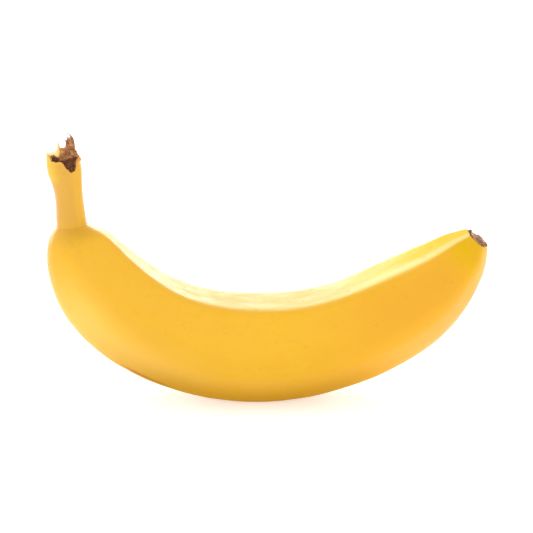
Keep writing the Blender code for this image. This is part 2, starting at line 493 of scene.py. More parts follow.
def weave(rings, around):
    """Quads between rings of points, with a triangle fan at each end. The two end points come last."""
    ring = np.arange(around)
    following = (ring + 1) % around
    faces = []
    for row in range(rings - 1):
        a, b = row * around, (row + 1) * around
        faces += np.stack([a + ring, a + following, b + following, b + ring], axis=1).tolist()
    start, end = rings * around, rings * around + 1
    last = (rings - 1) * around
    faces += [[start, int(j), int(i)] for i, j in zip(ring, following)]
    faces += [[end, last + int(i), last + int(j)] for i, j in zip(ring, following)]
    return faces


def new_piece(name, vertices, faces, material):
    """A smooth piece that moves with the fruit and takes its finish."""
    mesh = bpy.data.meshes.new(name)
    mesh.from_pydata([tuple(map(float, v)) for v in vertices], [], faces)
    mesh.validate()
    mesh.shade_smooth()
    mesh.materials.append(material)
    piece = bpy.data.objects.new(name, mesh)
    bpy.context.scene.collection.objects.link(piece)
    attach(piece, "root")
    return piece


def note(piece, name, values, kind="FLOAT"):
    """Stores one value for each vertex, which a material reads by name."""
    attribute = piece.data.attributes.new(name, kind, "POINT")
    key = "vector" if kind == "FLOAT_VECTOR" else "value"
    attribute.data.foreach_set(key, np.ascontiguousarray(values, np.float32).ravel())


# ---------------------------------------------------------------------------------------------------------
# Materials


class Wiring:
    """Short calls that add nodes to a tree and link them."""

    def __init__(self, tree):
        self.tree = tree

    def node(self, kind, **settings):
        made = self.tree.nodes.new(kind)
        for key, value in settings.items():
            setattr(made, key, value)
        return made

    def feed(self, socket, value):
        """Links a socket to a value that varies, or sets it to one that doesn't."""
        if isinstance(value, bpy.types.NodeSocket):
            self.tree.links.new(value, socket)
        else:
            socket.default_value = value

    def ramp(self, value, low, high, to_low=0.0, to_high=1.0):
        """Carries value from low..high to to_low..to_high with soft ends."""
        made = self.node("ShaderNodeMapRange", interpolation_type="SMOOTHSTEP")
        self.feed(made.inputs["Value"], value)
        for socket, number in zip(("From Min", "From Max", "To Min", "To Max"), (low, high, to_low, to_high)):
            made.inputs[socket].default_value = number
        return made.outputs["Result"]

    def reckon(self, operation, first, second):
        """Works out one number from two sockets or numbers."""
        made = self.node("ShaderNodeMath", operation=operation)
        self.feed(made.inputs[0], first)
        self.feed(made.inputs[1], second)
        return made.outputs["Value"]

    def sum(self, first, second):
        return self.reckon("ADD", first, second)

    def times(self, first, second):
        return self.reckon("MULTIPLY", first, second)

    def larger(self, first, second):
        return self.reckon("MAXIMUM", first, second)


class Recipe(Wiring):
    """A node material that is put together from short calls."""

    def __init__(self, name):
        self.material = bpy.data.materials.new(name)
        self.material.use_nodes = True
        super().__init__(self.material.node_tree)
        self.shader = self.tree.nodes["Principled BSDF"]

    def set_shader(self, **settings):
        """Sets the shader's sockets, named with _ for a space."""
        for name, value in settings.items():
            self.feed(self.shader.inputs[name.replace("_", " ")], value)

    def stored(self, name, output="Fac"):
        """What the piece's points carry under this name."""
        return self.node("ShaderNodeAttribute", attribute_name=name).outputs[output]

    def position(self):
        return self.node("ShaderNodeTexCoord").outputs["Object"]

    def speckle(self, vector, scale, detail=3.0, roughness=0.5, distortion=0.0):
        """Soft noise with scale features in a metre, or in one unit of grain."""
        made = self.node("ShaderNodeTexNoise")
        self.feed(made.inputs["Vector"], vector)
        made.inputs["Scale"].default_value = scale
        made.inputs["Detail"].default_value = detail
        made.inputs["Roughness"].default_value = roughness
        made.inputs["Distortion"].default_value = distortion
        return made.outputs["Fac"]

    def cells(self, vector, scale):
        """Distance to scattered points, with scale of them in a metre."""
        made = self.node("ShaderNodeTexVoronoi")
        self.feed(made.inputs["Vector"], vector)
        made.inputs["Scale"].default_value = scale
        return made.outputs["Distance"]

    def mix(self, amount, first, second):
        made = self.node("ShaderNodeMix", data_type="RGBA")
        self.feed(made.inputs[0], amount)
        self.feed(made.inputs[6], first)
        self.feed(made.inputs[7], second)
        return made.outputs[2]

    def lay(self, colour, over, mark, strength=1.0):
        """Lays a colour over another where the stored mark is."""
        return self.mix(self.times(self.stored(mark), strength), colour, tone(over))

    def bump(self, height, distance, strength):
        made = self.node("ShaderNodeBump")
        made.inputs["Strength"].default_value = strength
        made.inputs["Distance"].default_value = distance
        self.feed(made.inputs["Height"], height)
        self.feed(self.shader.inputs["Normal"], made.outputs["Normal"])


WHITE = (1.0, 1.0, 1.0, 1.0)


def tone(colour):
    """A colour with its alpha."""
    return (*colour, 1.0)


class PeelRecipe(Recipe):
    """The peel, laid from the ripe ground up to the torn tissue."""

    def __init__(self, look):
        super().__init__("banana_peel")
        self.look = look
        self.along = self.stored("along")
        self.grain = self.stored("grain", "Vector")
        self.place = self.position()
        self.fibres = self.speckle(self.grain, 1.0, 5.0, 0.6)
        self.fleck = self.speckle(self.place, 1500.0, 4.0, 0.65)

    def ripe_ground(self):
        """Golden clouds and fine lengthwise fibres, paler low on the side, with painted shade darkening the
        back.
        """
        look = self.look
        clouds = self.ramp(self.speckle(self.place, 45.0, 2.0), 0.35, 0.68)
        colour = self.mix(clouds, tone(look.golden), tone(look.deep_golden))
        toward_stem = self.ramp(self.along, 0.02, 0.13, 1.0, 0.0)
        colour = self.mix(self.times(toward_stem, 0.55), colour, tone(look.pale_golden))
        colour = self.mix(self.ramp(self.fibres, 0.52, 0.72, 0.0, 0.16), colour, tone(look.fibre))
        drift = self.ramp(self.speckle(self.grain, 1.1, 4.0, 0.6), 0.44, 0.68, 0.0, 0.40)
        colour = self.mix(drift, colour, tone(look.pale_golden))
        stipple = self.ramp(self.speckle(self.place, 420.0, 3.0), 0.52, 0.72, 0.0, 0.30)
        colour = self.mix(stipple, colour, tone(look.fibre))
        colour = self.lay(colour, look.shoulder, "shoulder", 0.6)
        # Painted shade: the back and the lower sides are laid in a much darker gold.
        return self.lay(colour, look.underside_shade, "underside_shade", 0.9)

    def stem(self, colour):
        """Tan that fades in above the neck, with a pinkish side and painted shade in the neck crease below.
        """
        look = self.look
        tan_edge = self.sum(self.along, self.times(self.speckle(self.grain, 0.6, 2.0), 0.006))
        on_stem = self.ramp(tan_edge, -0.002, 0.010, 0.92, 0.0)
        gold_side = self.ramp(self.stored("stem_gold"), 0.0, 1.0, 1.0, 0.45)
        colour = self.mix(self.times(on_stem, gold_side), colour, tone(look.stem_tan))
        colour = self.lay(colour, look.stem_blush, "stem_blush", 0.6)
        # Painted shade: darker ochre in the crease where the stem meets the body.
        return self.lay(colour, look.neck_shade_ochre, "crease_shade")

    def hollow_and_tip(self, colour):
        """The hollow laid paler as a painted highlight, a painted highlight along its ridge, its streaks, and
        the greener blossom end.
        """
        look = self.look
        colour = self.lay(colour, look.ripe_tip, "ripe_tip", 0.85)
        colour = self.lay(colour, look.lemon, "lemon", 0.8)
        # Painted highlight: a pale streak along the ridge beside the hollow.
        colour = self.lay(colour, look.ridge_highlight, "ridge_highlight")
        # Painted highlight: the hollow side is laid paler, for the light that falls on it from above and
        # behind.
        colour = self.lay(colour, look.hollow, "hollow", 0.75)
        streaks = self.ramp(self.speckle(self.grain, 1.7, 3.0, 0.6), 0.46, 0.66, 0.0, 0.22)
        colour = self.lay(colour, look.deep_golden, "hollow", streaks)
        patches = self.ramp(self.speckle(self.place, 160.0, 3.0), 0.25, 0.7, 0.45, 1.0)
        return self.lay(colour, look.olive, "olive", patches)

    def blemishes(self, colour):
        """Ripeness spots in loose groups, and one rubbed line."""
        look = self.look
        dots = self.ramp(self.cells(self.place, 330.0), 0.03, 0.10, 1.0, 0.0)
        groups = self.ramp(self.speckle(self.place, 60.0, 2.0), 0.60, 0.70)
        colour = self.mix(self.times(self.times(dots, groups), 0.55), colour, tone(look.freckle))
        rubbed = self.ramp(self.speckle(self.grain, 1.6, 4.0, 0.65), 0.26, 0.46)
        return self.lay(colour, look.bruise, "bruise", rubbed)

    def flesh(self):
        """The fresh tissue of the torn lip, drying to orange."""
        look = self.look
        colour = self.mix(self.stored("orange_tear"), tone(look.torn_pale), tone(look.torn_orange))
        return self.mix(self.ramp(self.fleck, 0.45, 0.7, 0.0, 0.5), colour, tone(look.torn_orange))

    def tear(self, colour, flesh):
        """Fresh lips, brown tufts and a dark crust."""
        look = self.look
        colour = self.lay(colour, look.torn_orange, "torn_edge", 0.55)
        colour = self.mix(self.stored("pale_tear"), colour, flesh)
        tufts = self.mix(self.ramp(self.fleck, 0.42, 0.60), tone(look.tear_brown), tone(look.tear_tan))
        clumps = self.speckle(self.place, 620.0, 2.0)
        tufts = self.mix(self.ramp(clumps, 0.50, 0.62, 0.0, 0.75), tufts, tone(look.tear_brown))
        tufts = self.mix(self.ramp(clumps, 0.34, 0.44, 0.65, 0.0), tufts, tone(look.tear_straw))
        colour = self.mix(self.stored("brown_tear"), colour, tufts)
        crust = self.mix(self.ramp(self.fleck, 0.40, 0.66), tone(look.tear_dark), tone(look.tear_brown))
        return self.mix(self.stored("dark_tear"), colour, crust)

    def scar(self, colour):
        """The dry blossom scar inside its thin dark line."""
        look = self.look
        blotches = self.ramp(self.speckle(self.place, 900.0, 3.0), 0.42, 0.62)
        dry = self.mix(blotches, tone(look.scar_tan), tone(look.scar_brown))
        colour = self.mix(self.stored("scar"), colour, dry)
        return self.lay(colour, look.scar_dark, "scar_line")

    def roughness(self):
        """Wax that is glossier in patches, duller on the back and gone from dead tissue."""
        gloss = self.look.gloss
        rough = self.ramp(self.speckle(self.place, 220.0, 3.0), 0.3, 0.7, gloss - 0.04, gloss + 0.05)
        dead = self.sum(self.sum(self.stored("brown_tear"), self.stored("dark_tear")), self.stored("scar"))
        rough = self.sum(rough, self.times(dead, 0.35))
        return self.sum(rough, self.times(self.stored("underside_shade"), 0.5))

    def cook(self):
        """Puts the layers together and gives the finished material."""
        colour = self.blemishes(self.hollow_and_tip(self.stem(self.ripe_ground())))
        flesh = self.flesh()
        self.set_shader(
            Base_Color=self.scar(self.tear(colour, flesh)),
            Roughness=self.roughness(),
            IOR=1.42,
            Specular_Tint=(1.0, 0.88, 0.35, 1.0),
            # Painted glow: the fresh torn lip emits light, standing in for light through the thin peel.
            Emission_Color=flesh,
            Emission_Strength=self.times(self.stored("pale_tear"), self.look.lip_painted_glow),
            Subsurface_Weight=0.05,
            Subsurface_Radius=(1.0, 0.5, 0.12),
            Subsurface_Scale=0.0015,
        )
        pores = self.speckle(self.place, 2600.0, 2.0)
        self.bump(self.sum(self.times(pores, 0.35), self.times(self.fibres, 0.65)), 0.00010, 0.5)
        return self.material


def dry_material(name, dark, middle, pale, size):
    """Dead, fibrous tissue: darkest where its bump dips, as painted shade in its hollows, and pale along its
    raised, frayed streaks.
    """
    dry = Recipe(name)
    place = dry.position()
    fleck = dry.speckle(place, size, 5.0, 0.65)
    streak = dry.speckle(place, size * 0.35, 3.0, 0.55, 0.8)
    # Painted shade: the dark colour goes where the noise that also shapes the bump is low.
    colour = dry.mix(dry.ramp(fleck, 0.36, 0.60), tone(dark), tone(middle))
    colour = dry.mix(dry.times(dry.ramp(streak, 0.45, 0.68), 0.75), colour, tone(pale))
    shade = dry.stored("shade")
    colour = dry.mix(dry.ramp(shade, 0.5, 1.0, 0.0, 0.85), colour, tone(pale))
    colour = dry.mix(dry.ramp(shade, 0.0, 0.5, 0.85, 0.0), colour, tone(dark))
    dry.set_shader(Base_Color=colour, Roughness=dry.ramp(fleck, 0.3, 0.7, 0.62, 0.88))
    dry.bump(dry.sum(fleck, dry.times(streak, 0.5)), 0.00012, 0.7)
    return dry.material


# ---------------------------------------------------------------------------------------------------------
# Settings


def colour_of(name, default, description):
    """A colour that a user can set."""
    return FloatVectorProperty(
        name=name, description=description, subtype="COLOR", size=3, min=0, max=1, default=default
    )


def amount_of(name, default, description, **settings):
    """A number that a user can set."""
    return FloatProperty(name=name, description=description, default=default, **settings)


def length_of(name, default, description):
    """A length in metres that a user can set."""
    return amount_of(name, default, description, unit="LENGTH")


class PeelSettings(bpy.types.PropertyGroup):
    golden: colour_of("Golden", (0.90, 0.49, 0.031), "Main colour of the ripe peel")
    deep_golden: colour_of("Deep golden", (0.88, 0.465, 0.023), "Darker clouds in the peel")
    # Painted highlight: the paler colour laid on the lit hollow side.
    hollow: colour_of("Hollow", (0.94, 0.62, 0.14), "Paler peel along the hollow")
    shoulder: colour_of("Shoulder", (0.97, 0.60, 0.13), "Paler peel low on the side, towards the stem")
    pale_golden: colour_of("Pale golden", (0.86, 0.47, 0.044), "Paler peel towards the stem")
    # Painted shade: the much darker gold laid on the back.
    underside_shade: colour_of("Underside", (0.46, 0.235, 0.0002), "Deeper peel on the back")
    fibre: colour_of("Fibre", (0.82, 0.425, 0.016), "Fine lines that run the length of the fruit")
    stem_tan: colour_of("Stem tan", (0.70, 0.375, 0.062), "The stem")
    stem_blush: colour_of("Stem blush", (0.78, 0.40, 0.13), "Pinkish side of the stem")
    ripe_tip: colour_of("Ripe tip", (0.83, 0.40, 0.030), "Riper peel low on the side, at the blossom end")
    # Painted shade: the darker ochre laid in the neck crease.
    neck_shade_ochre: colour_of("Neck ochre", (0.62, 0.32, 0.006), "The crease where the stem meets the body")
    olive: colour_of("Olive", (0.80, 0.46, 0.001), "Unripe tint at the blossom end")
    lemon: colour_of("Lemon", (0.93, 0.68, 0.020), "Fresher yellow in the hollow near the blossom end")
    # Painted highlight: the pale streak along the ridge beside the hollow.
    ridge_highlight: colour_of("Pale ridge", (0.99, 0.82, 0.36), "Paler skin along the ridge beside the hollow")
    freckle: colour_of("Freckle", (0.42, 0.20, 0.03), "Tiny ripeness spots")
    bruise: colour_of("Bruise", (0.38, 0.12, 0.004), "Rubbed line on the lower ridge")
    torn_pale: colour_of("Torn pale", (1.0, 0.93, 0.52), "Fresh inside of the torn peel")
    torn_orange: colour_of("Torn orange", (0.90, 0.50, 0.15), "Drying inside of the torn peel")
    tear_tan: colour_of("Tear tan", (0.60, 0.30, 0.13), "Light fibres in the tear")
    tear_straw: colour_of("Tear straw", (0.74, 0.44, 0.22), "Palest frayed tissue in the tear")
    tear_brown: colour_of("Tear brown", (0.30, 0.105, 0.042), "Brown dried tissue in the tear")
    tear_dark: colour_of("Tear dark", (0.075, 0.022, 0.014), "Darkest dried tissue in the tear")
    scar_tan: colour_of("Scar tan", (0.60, 0.31, 0.16), "Dry middle of the blossom scar")
    scar_brown: colour_of("Scar brown", (0.30, 0.12, 0.075), "Brown parts of the blossom scar")
    scar_dark: colour_of("Scar dark", (0.10, 0.045, 0.02), "Thin dark line around the blossom scar")
    # Painted glow: how strongly the fresh torn lip emits light.
    lip_painted_glow: amount_of("Lip glow", 0.38, "Light that soaks through the thin torn lip", min=0)
    gloss: amount_of("Roughness", 0.31, "Roughness of the waxy peel", min=0, max=1)
    dents: length_of("Dents", 0.00016, "Depth of the broad dents")
    lumps: length_of("Lumps", 0.00004, "Height of the small lumps")
    ribs: length_of("Ribs", 0.00012, "Height of the stem's ribs")


class TearSettings(bpy.types.PropertyGroup):
    fibres: IntProperty(name="Fibres", description="Loose fibres in the tear", default=150, min=0)
    length: length_of("Length", 0.0013, "Longest loose fibre")
    thickness: length_of("Thickness", 0.00018, "Thickness of a fibre")
    # Also painted as shade in the fibres' hollows.
    dark: colour_of("Dark", (0.12, 0.04, 0.022), "Darkest fibres")
    brown: colour_of("Brown", (0.36, 0.15, 0.06), "Most of the fibres")
    tan: colour_of("Tan", (0.66, 0.38, 0.18), "Frayed fibre tips")
    curl_orange: colour_of("Curl orange", (0.82, 0.36, 0.07), "The rolled bit of torn peel")
    # Painted shade in the curl's creases, as the dark colour of its dry material.
    curl_brown: colour_of("Curl brown", (0.50, 0.17, 0.04), "The curl's dried creases")


class BlossomSettings(bpy.types.PropertyGroup):
    bulge: length_of("Bulge", 0.0011, "Height of the dry middle")
    flakes: IntProperty(name="Flakes", description="Dry flakes around the scar", default=26, min=0)
    # The grey is also the painted shade in the hollows of the blossom remains.
    grey: colour_of("Grey", (0.13, 0.085, 0.070), "The dead nub and the hollows")
    mauve: colour_of("Mauve", (0.37, 0.17, 0.090), "Most of the dry flower's foot")
    pink: colour_of("Pink", (0.76, 0.48, 0.30), "Papery pale parts")


class StageSettings(bpy.types.PropertyGroup):
    lens: amount_of("Lens", 111.4, "Focal length in millimetres", min=1)
    distance: length_of("Distance", 0.6, "From the camera to the fruit")
    elevation: amount_of("Elevation", math.radians(16), "How far down the camera looks", subtype="ANGLE")
    aim: FloatVectorProperty(
        name="Aim",
        description="Where the camera looks",
        subtype="TRANSLATION",
        size=3,
        default=(-0.0002, 0, 0.0503),
    )
    room_glow: amount_of("Room glow", 1.0, "Brightness of the room's near side", min=0)
    roof_glow: amount_of("Roof glow", 0.70, "Brightness overhead and behind", min=0)
    horizon_glow: amount_of("Horizon glow", 1.0, "Least brightness low around the room", min=0)
    back_glow: amount_of("Back glow", 3.6, "Brightness of the window low behind", min=0)
    softbox: amount_of("Softbox", 4.0, "Power of the light high behind", min=0)
    table_glow: amount_of("Table glow", 0.50, "Brightness of the lit table top", min=0)
    floor: colour_of("Floor", (0.84, 0.84, 0.84), "The table")


# ---------------------------------------------------------------------------------------------------------
# What each part of the peel is made of, and its fine relief


def sector(angle, middle, half, soft):
    """1 within half of the middle angle and 0 outside it, fading over soft; all three in degrees."""
    gap = np.abs((np.degrees(angle) - middle + 180) % 360 - 180)
    return 1 - smooth_step(half - soft, half + soft, gap)


def torn_marks(angle, depth, in_wall, grid):
    """Fresh flesh on the torn lips, brown tissue behind it and a dark crust on the near side."""
    shape = grid.shape[:2]
    reach = 1 - depth
    ragged = 0.10 * mottle(grid.reshape(-1, 3), 0.0012, 8).reshape(shape)
    ragged_depth = depth + 0.2 * ragged
    back = reach * np.sin(angle) + ragged
    across = reach * np.cos(angle) + ragged
    height = rim_share(shape)

    dark = in_wall * (1 - smooth_step(0.24, 0.46, back)) * smooth_step(-0.86, -0.68, across)
    dark = dark * (1 - sector(angle, 350, 24, 8) * (1 - smooth_step(0.05, 0.26, depth)))
    lip = 0.09 + 0.10 * sector(angle, 104, 18, 12)
    flesh = sector(angle, 152, 52, 8) * (1 - smooth_step(lip - 0.03, lip + 0.04, ragged_depth))
    flesh = np.maximum(flesh, sector(angle, 350, 26, 8) * (1 - smooth_step(0.14, 0.34, depth)))
    below_lip = smooth_step(lip + 0.01, lip + 0.07, ragged_depth)
    dark = np.maximum(dark, in_wall * sector(angle, 158, 46, 8) * below_lip)
    frayed = np.clip(0.55 + 6.0 * ragged, 0, 1) * (1 - smooth_step(0.12, 0.22, depth))
    flesh = np.maximum(flesh, 0.8 * sector(angle, 90, 14, 10) * frayed)
    shred = sector(angle, 60, 26, 6) * smooth_step(0.45, 0.6, height)
    edge = np.maximum(sector(angle, 290, 70, 20), sector(angle, 90, 70, 20))
    return {
        "pale_tear": in_wall * flesh * (1 - dark),
        "brown_tear": np.maximum(in_wall * (1 - flesh), shred),
        "dark_tear": dark,
        "orange_tear": np.maximum(sector(angle, 350, 40, 14), sector(angle, 90, 22, 20)),
        "torn_edge": (1 - in_wall) * smooth_step(0.80, 1.0, height) * edge,
    }


def skin_marks(length, angle, in_wall, ring_in):
    """Where the skin differs from plain ripe yellow, from the stem to the blossom scar, with painted
    highlights on the hollow and its ridge and painted shade on the back and in the neck crease.
    """

    def past(low, high):
        """0 nearer the stem than low, and 1 beyond high."""
        return smooth_step(low, high, length)

    scar = smooth_step(0.0, 0.08, ring_in)
    hollow = sector(angle, 0, 30, 3)
    ridge = sector(angle, 340, 9, 6) * past(0.004, 0.02) * (1 - scar)
    near_tip = past(BODY_LENGTH - 0.018, BODY_LENGTH - 0.002)
    near_top = (1 - smooth_step(0.0, 0.0045, length + STEM_LENGTH)) * (1 - in_wall)
    neck = np.exp(-(((length - 0.0015) / 0.0035) ** 2))
    rub = np.exp(-(((np.degrees(angle) - 211) / 2.6) ** 2))
    return {
        "scar": scar,
        "scar_line": smooth_step(0.0, 0.07, ring_in) * (1 - smooth_step(0.06, 0.15, ring_in)),
        "olive": near_tip * (1 - 0.75 * sector(angle, 0, 34, 6)) * (1 - scar),
        # painted highlight along the near ridge, strongest towards the tip
        "ridge_highlight": ridge * (0.10 + 0.60 * past(0.12, 0.165)),
        # painted highlight on the hollow side
        "hollow": hollow * past(0.04, 0.11) * (1 - past(0.11, 0.15)),
        "shoulder": sector(angle, 228, 34, 26) * past(0.008, 0.03) * (1 - past(0.05, 0.085)),
        "stem_blush": sector(angle, 192, 26, 16) * (1 - past(-0.004, 0.006)) * (1 - in_wall),
        "stem_gold": sector(angle, 350, 52, 40),
        "ripe_tip": sector(angle, 262, 70, 30) * past(0.10, 0.155),
        "lemon": hollow * past(0.105, 0.165) + 0.5 * sector(angle, 202, 36, 22) * near_top,
        # painted shade in the neck crease
        "crease_shade": 0.4 * neck * sector(angle, 320, 60, 40),
        "bruise": rub * past(0.044, 0.051) * (1 - past(0.058, 0.066)),
        # painted shade on the back, fading up the sides
        "underside_shade": sector(angle, 190, 60, 42) * (1 - past(0.115, 0.15)) * past(0.022, 0.066),
    }


def peel_marks(along, angles, depth, inward, grid):
    """What each point of the peel is made of, as named values from 0 to 1."""
    shape = grid.shape[:2]
    length = np.broadcast_to(along[:, None], shape)
    angle = np.broadcast_to(angles[None, :], shape)
    ring_in = np.broadcast_to(inward[:, None], shape)
    in_wall = smooth_step(0.0, 0.03, depth)
    return torn_marks(angle, depth, in_wall, grid) | skin_marks(length, angle, in_wall, ring_in)


def rim_share(shape):
    """How far up the torn wall each outside point lies, from 0 at the stem to 1 at the torn edge."""
    share = np.zeros(shape)
    share[:TORN_RINGS] = 1.0
    share[TORN_RINGS : TORN_RINGS + TEAR_RINGS] = np.linspace(1, 0, TEAR_RINGS, endpoint=False)[:, None]
    return share


def relief(look, grid, normals, along, angles, marks):
    """Dents, lumps and lengthwise ribs that lift the skin along its normals."""
    shape = grid.shape[:2]
    points = grid.reshape(-1, 3)
    length = np.broadcast_to(along[:, None], shape).ravel()
    angle = np.broadcast_to(angles[None, :], shape).ravel()
    around = GRAIN_AROUND * np.stack([np.cos(angle), np.sin(angle)])
    grain = np.stack([*around, length / GRAIN_STRETCH], axis=-1)
    on_stem = 1 - smooth_step(-0.002, 0.012, length)
    near_tip = smooth_step(BODY_LENGTH - 0.03, BODY_LENGTH, length)
    lift = look.dents * mottle(points, 0.016, 1) * (1 - 0.8 * on_stem)
    lift += look.lumps * mottle(points, 0.0045, 2)
    lift += look.ribs * mottle(grain, 1.0, 5) * np.maximum(on_stem, np.maximum(0.12, 0.5 * near_tip))
    dead = np.maximum(marks["brown_tear"], marks["dark_tear"]).ravel()
    lift += 0.00045 * mottle(points, 0.0011, 6) * np.maximum(dead, 0.3 * marks["pale_tear"].ravel())
    lift += 0.00022 * mottle(points, 0.0012, 7) * marks["scar"].ravel()
    lift *= smooth_step(0.0, 0.0012, points[:, 2] - fruit_low[2])
    return grid + normals * lift.reshape(*shape, 1), grain


# ---------------------------------------------------------------------------------------------------------
# Operators


class BANANA_OT_peel(bpy.types.Operator):
    """Grow the whole peel, from the torn stem to the blossom end"""

    bl_idname = "banana.peel"
    bl_label = "Peel"

    def execute(self, context):
        look = context.scene.banana_peel
        grid, along, angles, depth, inward = peel_grid()
        marks = peel_marks(along, angles, depth, inward, grid)
        grid = settle(grid)
        grid, grain = relief(look, grid, surface_normals(grid), along, angles, marks)
        rings = len(grid)
        ends = [grid[0].mean(axis=0), grid[-1].mean(axis=0)]
        vertices = np.concatenate([grid.reshape(-1, 3), ends])
        piece = new_piece("peel", vertices, weave(rings, AROUND), PeelRecipe(look).cook())
        for name, values in marks.items():
            note(piece, name, np.concatenate([values.ravel(), [values[0].mean(), values[-1].mean()]]))
        lengths = np.broadcast_to(along[:, None], grid.shape[:2])
        note(piece, "along", np.concatenate([lengths.ravel(), [along[0], along[-1]]]))
        grain = np.concatenate([grain, [[0, 0, along[end] / GRAIN_STRETCH] for end in (0, -1)]])
        note(piece, "grain", grain, "FLOAT_VECTOR")
        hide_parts("banana")
        return {"FINISHED"}


class BANANA_OT_fibres(bpy.types.Operator):
    """Stand the loose dried fibres in the torn top of the stem, with a few longer wisps"""

    bl_idname = "banana.fibres"
    bl_label = "Torn fibres"

    def execute(self, context):
        tear = context.scene.banana_tear
        torn, edge, _ = landmarks()
        draw = random.Random(11)
        heap = Heap()
        for _ in range(tear.fibres):
            self.add_fibre(heap, draw, tear, torn, edge)
        self.add_wisps(heap, edge)
        heap.piece("torn_fibres", dry_material("torn_fibre", tear.dark, tear.brown, tear.tan, 1500.0))
        return {"FINISHED"}

    def add_fibre(self, heap, draw, tear, torn, edge):
        """One short fibre on the torn edge, inside the wall or on the broken top."""
        spot = draw.random()
        if spot < 0.42:
            foot = edge[int(draw.uniform(*RIM_FIBRES) / 360 * AROUND)]
            way = (draw.gauss(-0.05, 0.30), draw.gauss(-0.1, 0.3), 1)
            length = tear.length * draw.uniform(0.25, 1.0) ** 1.5
        elif spot < 0.80:
            column = int(draw.uniform(*WALL_FIBRES) / 360 * AROUND)
            foot = torn[draw.randrange(CAP_RINGS + 2, TORN_RINGS - 2), column]
            way = (draw.gauss(0.0, 0.4), draw.gauss(-0.5, 0.25), 1)
            length = tear.length * draw.uniform(0.2, 0.6)
        else:
            foot = torn[draw.randrange(2, CAP_RINGS), draw.randrange(AROUND)]
            way = (draw.gauss(0.0, 0.5), draw.gauss(-0.2, 0.5), 1)
            length = tear.length * draw.uniform(0.15, 0.45)
        sag = (draw.gauss(0, 0.25), draw.gauss(-0.05, 0.25), -0.1)
        thickness = tear.thickness * draw.uniform(0.5, 1.2)
        low = np.array(foot) - np.array(way) * 0.00015
        heap.add(strand(bent_path(low, way, length, sag), thickness / 2), draw.uniform(0.15, 0.95))

    def add_wisps(self, heap, edge):
        """Two dark wisps on the shred's left and two longer tan ones on its right."""
        dark_foot, tan_foot = (edge[round(at / 360 * AROUND)] - (0, 0, 0.0004) for at in (75, 50))
        for foot, way, length, sag, radius, shade in (
            (dark_foot, (-0.55, -0.1, 1), 0.0015, (-0.35, 0, -0.05), 0.00024, 0.12),
            (dark_foot + (0.0006, 0, 0), (-0.25, -0.1, 1), 0.0009, (-0.2, 0, 0), 0.00022, 0.25),
            (tan_foot, (-0.02, 0, 1), 0.0034, (-0.72, 0, -0.16), 0.00044, 0.72),
            (tan_foot - (0.0004, 0.0002, 0), (-0.10, 0, 1), 0.0016, (-0.3, 0, -0.05), 0.00030, 0.62),
        ):
            heap.add(strand(bent_path(foot, way, length, sag, 14), radius, 0.6, 8), shade)


class BANANA_OT_curl(bpy.types.Operator):
    """Roll the small bit of torn peel beside the notch"""

    bl_idname = "banana.curl"
    bl_label = "Curled peel"

    def execute(self, context):
        tear = context.scene.banana_tear
        _, edge, _ = landmarks()
        middle = edge.mean(axis=0)
        heap = Heap()
        # Each roll: its first and last degree around the stem, lift, radius and shade
        for start, stop, lift, radius, shade in (
            (314, 358, 0.0001, 0.00060, 0.75),
            (322, 366, 0.0006, 0.00040, 0.9),
            (348, 396, 0.0000, 0.00030, 0.35),
        ):
            columns = np.linspace(start, stop, 18) / 360 * AROUND
            points = np.array([edge[round(column) % AROUND] for column in columns])
            outward = points - middle
            outward[:, 2] = 0
            outward /= np.linalg.norm(outward, axis=1, keepdims=True)
            path = points + outward * 0.00022 + np.array([0, 0, lift])
            path = np.array([path[max(i - 2, 0) : i + 3].mean(axis=0) for i in range(len(path))])
            heap.add(strand(path, radius, 0.75, 12, blunt=1.0), shade)
        orange = tear.curl_orange
        heap.piece("curled_peel", dry_material("curled_peel", tear.curl_brown, orange, orange, 1100.0))
        return {"FINISHED"}


class BANANA_OT_blossom(bpy.types.Operator):
    """Set the dry foot of the flower in the blossom scar, with its nub and flakes"""

    bl_idname = "banana.blossom"
    bl_label = "Blossom remains"

    def execute(self, context):
        blossom = context.scene.banana_blossom
        _, _, rim = landmarks()
        middle = rim.mean(axis=0)
        top, bottom = rim[0], rim[AROUND // 2]
        out = np.cross(rim[AROUND // 4] - rim[3 * AROUND // 4], top - bottom)
        out = out / np.linalg.norm(out)
        upward = (top - bottom) / np.linalg.norm(top - bottom)
        half = np.linalg.norm(top - bottom) / 2
        draw = random.Random(5)
        heap = Heap()
        bulge_size = (half * 0.50, SCAR_WIDTH * 0.29)
        heap.add(lump(middle - upward * half * 0.18, out, bulge_size, blossom.bulge, 21, 15, 36), 0.5)
        foot_size = (half * 0.34, SCAR_WIDTH * 0.24)
        heap.add(lump(middle - upward * half * 0.50, out, foot_size, 0.0008, 25, 11, 28), 0.62)
        nub = top - upward * 0.0005 + out * 0.0003
        heap.add(lump(nub, out, (0.00062, 0.0009), 0.0008, 23), 0.08)
        heap.add(lump(top - upward * 0.0018, out, (0.0008, 0.0016), 0.0003, 24), 1.0)
        for _ in range(blossom.flakes):
            column = draw.randrange(AROUND)
            foot = middle + (rim[column] - middle) * draw.uniform(0.55, 0.90) - out * 0.0003
            way = out + (middle - rim[column]) / half * draw.uniform(-0.3, 0.8)
            sag = (draw.gauss(0, 0.3), draw.gauss(0, 0.3), draw.gauss(0, 0.3))
            length = draw.uniform(0.0004, 0.0010)
            shade = draw.uniform(0.1, 0.9)
            radius = draw.uniform(0.00012, 0.00030)
            heap.add(strand(bent_path(foot, way, length, sag, 5), radius, 0.5), shade)
        material = dry_material("dry_blossom", blossom.grey, blossom.mauve, blossom.pink, 900.0)
        heap.piece("blossom_remains", material)
        return {"FINISHED"}


